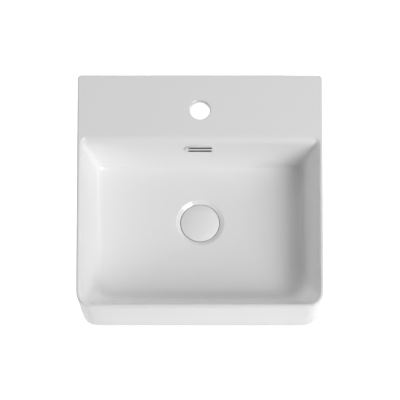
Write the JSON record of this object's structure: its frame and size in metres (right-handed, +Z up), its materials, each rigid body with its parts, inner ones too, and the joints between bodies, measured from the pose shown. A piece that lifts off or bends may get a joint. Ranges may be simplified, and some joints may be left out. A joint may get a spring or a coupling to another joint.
{
  "type": "countertop basin",
  "caption": "Square glazed ceramic countertop basin with a thin rim, a rear tap ledge, a slotted overflow and a push-to-open drain with a ceramic cap.",
  "frame": {"origin": "centre of the foot ring, on the countertop's face; the waste tail goes down through the countertop", "axes": "+Z up, -Y towards the user, +X to the user's right"},
  "size_m": [0.42, 0.42, 0.1745],
  "materials": {
    "glaze": "gloss glaze",
    "chrome_trim": "chrome plated",
    "plated_brass": "chrome plated brass",
    "brass": "turned",
    "rubber": "moulded",
    "acetal": "moulded",
    "polythene": "moulded",
    "spring_steel": "drawn wire"
  },
  "bodies": {
    "basin_set": {"basin": "glaze", "overflow_trim": "chrome_trim", "waste_body": "plated_brass", "flange_gasket": "rubber", "boss_gasket": "rubber", "slip_washer": "polythene", "backing_nut": "brass", "cartridge_housing": "brass", "cartridge_o_ring": "rubber", "cartridge_plug": "brass", "cartridge_spring": "spring_steel"},
    "cap": {"drain_cap": "glaze", "cap_insert": "brass", "cap_seal": "rubber", "plunger": "brass", "cap_lock_nut": "plated_brass"},
    "rotor": {"ratchet_rotor": "acetal"}
  },
  "joints": [
    {"name": "cap_lift", "type": "slide", "parent": "basin_set", "child": "cap", "axis": [0, 0, 1], "range_m": [0, 0.009], "deforming": ["cartridge_spring"]},
    {"name": "rotor_turn", "type": "hinge", "parent": "cap", "child": "rotor", "pos_m": [0, -0.024, 0], "axis": [0, 0, 1], "range_deg": [0, 45]}
  ],
  "couplings": [
    {"joint": "rotor_turn", "follows": "cap_lift", "rad_per_m": 87.26}
  ]
}
